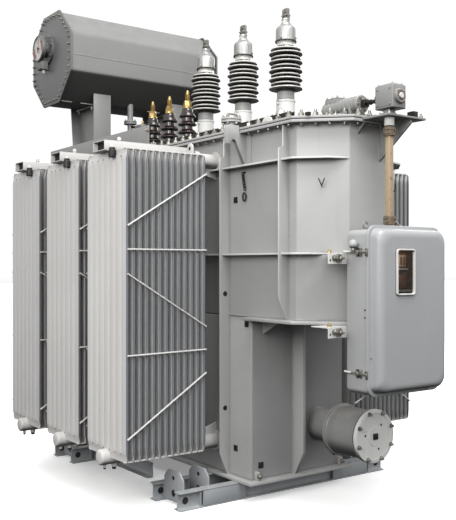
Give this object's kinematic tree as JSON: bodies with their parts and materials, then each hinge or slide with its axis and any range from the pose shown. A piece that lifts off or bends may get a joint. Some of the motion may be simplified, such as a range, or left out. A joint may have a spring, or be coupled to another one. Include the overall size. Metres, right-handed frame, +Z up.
{
  "type": "power transformer",
  "caption": "Oil-filled power transformer on a steel skid, with finned radiators, an oil conservator, porcelain bushings and a tap-changer drive cabinet with a hinged door.",
  "frame": {"origin": "on the ground under the middle of the transformer's overall box", "axes": "+X along the tank towards the tap-changer drive, +Y to the far radiators, +Z up"},
  "size_m": [3.7, 2.516, 3.58],
  "materials": {
    "tank_paint": "satin grey enamel",
    "skid_paint": "satin grey enamel",
    "radiator_paint": "satin light grey enamel",
    "conservator_paint": "satin grey enamel",
    "cabinet_paint": "satin light grey enamel",
    "grey_porcelain": "glazed grey porcelain",
    "brown_porcelain": "glazed dark brown porcelain",
    "brass": "polished brass",
    "silver_metal": "cast, satin",
    "bare_steel": "zinc plated",
    "shaft_paint": "tan enamel",
    "mechanism_metal": "brown primer",
    "gauge_face": "white enamel",
    "window_glass": "clear"
  },
  "bodies": {
    "transformer": {"bevel_gearbox": "tank_paint", "conservator_brackets": "conservator_paint", "conservator_far_end": "conservator_paint", "conservator_near_end": "conservator_paint", "conservator_shell": "conservator_paint", "cover_fittings": "tank_paint", "door_hinges": "bare_steel", "drive_brackets": "bare_steel", "drive_case": "cabinet_paint", "drive_mechanism": "mechanism_metal", "end_stiffeners": "tank_paint", "far_brace_rods": "radiator_paint", "far_header_pipes": "radiator_paint", "far_radiator_1": "radiator_paint", "far_radiator_2": "radiator_paint", "far_radiator_3": "radiator_paint", "far_stiffeners": "tank_paint", "front_skid_beams": "skid_paint", "gas_relay": "conservator_paint", "gearbox_platform": "tank_paint", "hv_insulator_1": "grey_porcelain", "hv_insulator_2": "grey_porcelain", "hv_insulator_3": "grey_porcelain", "hv_terminals": "silver_metal", "hv_turrets": "tank_paint", "lifting_lugs": "tank_paint", "lv_flanges": "tank_paint", "lv_insulator_1": "brown_porcelain", "lv_insulator_2": "brown_porcelain", "lv_insulator_3": "brown_porcelain", "lv_terminals": "brass", "near_brace_rods": "radiator_paint", "near_header_pipes": "radiator_paint", "near_radiator_1": "radiator_paint", "near_radiator_2": "radiator_paint", "near_radiator_3": "radiator_paint", "near_stiffeners": "tank_paint", "oil_chamber": "tank_paint", "oil_chamber_cover": "tank_paint", "oil_gauge": "gauge_face", "oil_pipe": "conservator_paint", "pocket_floor": "tank_paint", "rear_skid_beams": "skid_paint", "tank_base_plate": "tank_paint", "tank_body": "tank_paint", "tank_cover": "tank_paint", "tank_ribs": "tank_paint", "tank_rim": "tank_paint", "tap_changer_head": "tank_paint", "tie_plates": "conservator_paint", "tow_beams": "skid_paint", "wheel_brackets": "skid_paint"},
    "drive_door": {"drive_door": "cabinet_paint", "drive_window": "window_glass"},
    "vertical_shaft": {"vertical_shaft": "shaft_paint"},
    "horizontal_shaft": {"horizontal_shaft": "bare_steel"}
  },
  "joints": [
    {"name": "door_hinge", "type": "hinge", "parent": "transformer", "child": "drive_door", "pos_m": [1.7485, 0.307, 1.233], "axis": [0, 0, 1], "range_deg": [0, 110]},
    {"name": "drive_turn", "type": "hinge", "parent": "transformer", "child": "vertical_shaft", "pos_m": [1.71, -0.07, 2], "axis": [0, 0, 1], "continuous": true},
    {"name": "level_turn", "type": "hinge", "parent": "transformer", "child": "horizontal_shaft", "pos_m": [1.575, -0.07, 2.43], "axis": [1, 0, 0], "continuous": true}
  ],
  "couplings": [
    {"joint": "level_turn", "follows": "drive_turn", "ratio": 1}
  ]
}
